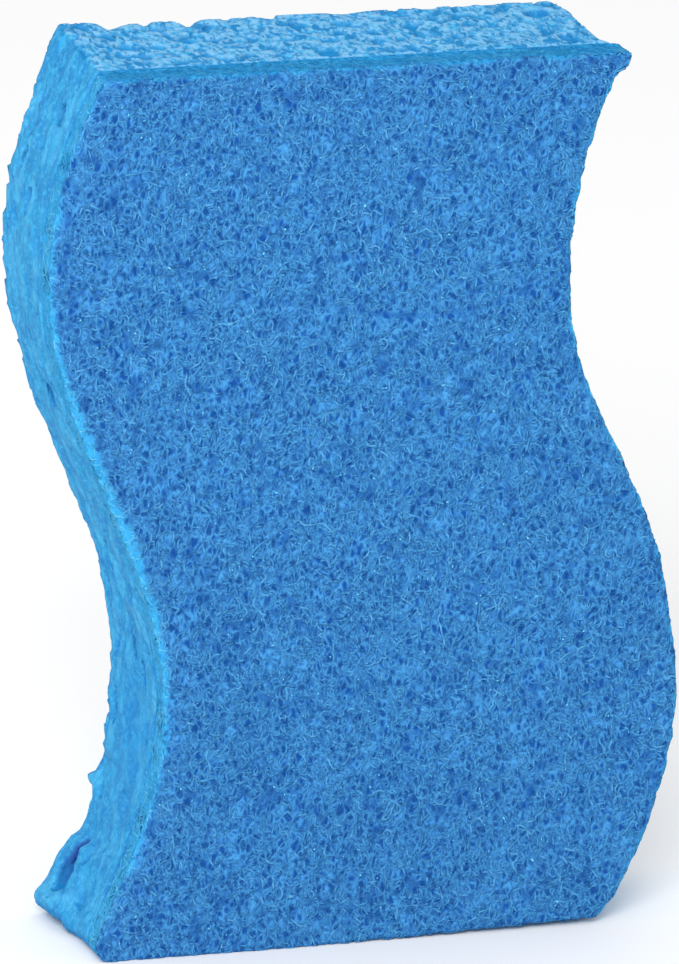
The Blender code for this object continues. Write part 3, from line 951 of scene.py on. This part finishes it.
def crawl(tree, starts, steps, stride, dice):
    """Curling walks over a surface: places (walk, step, xyz) and the surface's directions there."""
    places = np.empty((len(starts), steps, 3))
    outward = np.empty_like(places)
    bond = PAD_BACK - BOND_MARGIN
    for walk, (spot, normal) in enumerate(starts):
        ahead = Vector(dice.normal(size=3))
        turns = dice.normal(0.0, FIBRE_CURL, steps)
        turn = 0.0
        for step in range(steps):
            places[walk, step] = spot
            outward[walk, step] = normal
            ahead.z *= FIBRE_LEAN
            ahead = (ahead - normal * ahead.dot(normal)).normalized()
            turn = CURL_MEMORY * turn + turns[step]
            ahead = ahead * math.cos(turn) + normal.cross(ahead) * math.sin(turn)
            if spot.y + ahead.y * stride > bond:
                ahead.y = -abs(ahead.y)
            spot, normal, _, _ = tree.find_nearest(spot + ahead * stride)
    return places, outward


def fibres(name, ground, tree, seed, count, steps, stride, radius, low, high, cut_only=False):
    """Fibres that crawl over the ground, dip under one another and rise again."""
    dice = np.random.default_rng(seed)
    starts = scattered(ground, count, dice, cut_only)
    places, outward = crawl(tree, starts, steps, stride, dice)
    values = web_values(places.reshape(-1, 3))
    values = {label: part.reshape(count, steps) for label, part in values.items()}
    cut = values["cut_edge"]

    phase = dice.uniform(0.0, 2 * math.pi, (count, 1))
    phase = phase + dice.uniform(*SWING_TURN, (count, 1)) * np.arange(steps)
    height = dice.uniform(low, high, (count, 1)) + FIBRE_SWING * np.sin(phase)
    rise = (height - FIBRE_RISE[0]) / (FIBRE_RISE[1] - FIBRE_RISE[0])
    values["rise"] = np.clip(rise, 0.0, 1.0)
    height = height * (1 - (1 - CUT_LIFT_SHARE) * cut) - CUT_SINK * cut
    height -= CREASE_DEPTH * values["crease"] + OPEN_DIP * values["open_web"] * (1 - cut)
    paths = places + height[..., None] * outward
    paths[..., 2] = np.clip(paths[..., 2], radius, None)
    paths = bent(paths.reshape(-1, 3)).reshape(count, steps, 3)
    paths[..., 2] = np.clip(paths[..., 2], radius, None)
    values["fibre_tone"] = np.repeat(dice.uniform(0.0, 1.0, (count, 1)), steps, axis=1)
    return tube_mesh(name, paths, outward, radius, values)


def build_sponge():
    piece("sponge_body", sponge_mesh(), cellulose(), "cellulose_sponge")


def build_pad():
    ground = pad_mesh()
    tree = surface_tree(ground)
    finish = web_fibre()
    for name, seed, low, high in FIBRE_LAYERS:
        layer = fibres(
            name, ground, tree, seed, FIBRES_A_LAYER, FIBRE_STEPS, FIBRE_STRIDE, FIBRE_RADIUS, low, high)
        piece(name, layer, finish, "scouring_pad")
    edge = fibres(
        "web_edge_fibres", ground, tree, EDGE_SEED, EDGE_FIBRES, EDGE_STEPS, EDGE_STRIDE, EDGE_RADIUS,
        EDGE_LOW, EDGE_HIGH, cut_only=True)
    piece("web_edge_fibres", edge, finish, "scouring_pad")
    points, _ = mesh_arrays(ground)
    for label, values in web_values(points).items():
        set_value(ground, label, values)
    set_points(ground, bent(points))
    shade_smooth(ground)
    piece("web_ground", ground, web_ground(), "scouring_pad")


# Studio
FLOOR_SIZE = 8.0
FLOOR_COLOR = (0.96, 0.96, 0.96)
FLOOR_ROUGHNESS = 0.9
WORLD_STRENGTH = 0.72
# Lights: name, place, size, power
LIGHTS = (
    ("key", (-0.55, -0.95, 0.75), 0.6, 12.0),
    ("top", (0.05, 0.25, 1.20), 0.8, 1.8),
)


def area_light(name, place, size, power):
    data = bpy.data.lights.new(name, "AREA")
    data.size = size
    data.energy = power
    lamp = bpy.data.objects.new(name, data)
    lamp.location = place
    aim = Vector((0.0, 0.0, LENGTH / 2)) - Vector(place)
    lamp.rotation_euler = aim.to_track_quat("-Z", "Y").to_euler()
    bpy.context.scene.collection.objects.link(lamp)


def build_floor():
    floor_mesh = bpy.data.meshes.new("floor")
    bm = bmesh.new()
    bmesh.ops.create_grid(bm, x_segments=1, y_segments=1, size=FLOOR_SIZE / 2)
    bm.to_mesh(floor_mesh)
    bm.free()
    floor = bpy.data.objects.new("floor", floor_mesh)
    bpy.context.scene.collection.objects.link(floor)
    nodes = Nodes("studio_floor")
    nodes.shader.inputs["Base Color"].default_value = (*FLOOR_COLOR, 1.0)
    nodes.matt(FLOOR_ROUGHNESS, 0.0)
    floor_mesh.materials.append(nodes.material)


def build_studio():
    build_floor()
    world = bpy.data.worlds.new("studio")
    world.use_nodes = True
    sky = world.node_tree.nodes["Background"]
    sky.inputs["Color"].default_value = (1.0, 1.0, 1.0, 1.0)
    sky.inputs["Strength"].default_value = WORLD_STRENGTH
    bpy.context.scene.world = world
    for light in LIGHTS:
        area_light(*light)


def build_camera():
    azimuth, elevation = CAMERA_AZIMUTH, CAMERA_ELEVATION
    level = math.cos(elevation)
    back = Vector((math.sin(azimuth) * level, -math.cos(azimuth) * level, math.sin(elevation)))
    right = Vector((math.cos(azimuth), math.sin(azimuth), 0.0))
    up = back.cross(right)
    rolled_right = right * math.cos(CAMERA_ROLL) + up * math.sin(CAMERA_ROLL)
    rolled_up = up * math.cos(CAMERA_ROLL) - right * math.sin(CAMERA_ROLL)
    data = bpy.data.cameras.new("camera")
    data.sensor_width = SENSOR
    data.lens = FOCAL_PIXELS * SENSOR / PHOTO_HEIGHT
    data.clip_start, data.clip_end = CAMERA_CLIP
    camera = bpy.data.objects.new("camera", data)
    camera.matrix_world = Matrix((rolled_right, rolled_up, back)).transposed().to_4x4()
    camera.location = CAMERA_TARGET + back * CAMERA_DISTANCE
    bpy.context.scene.collection.objects.link(camera)
    bpy.context.scene.camera = camera


build_camera()
build_studio()
build_sponge()
build_pad()
bpy.context.scene.view_settings.view_transform = "Standard"
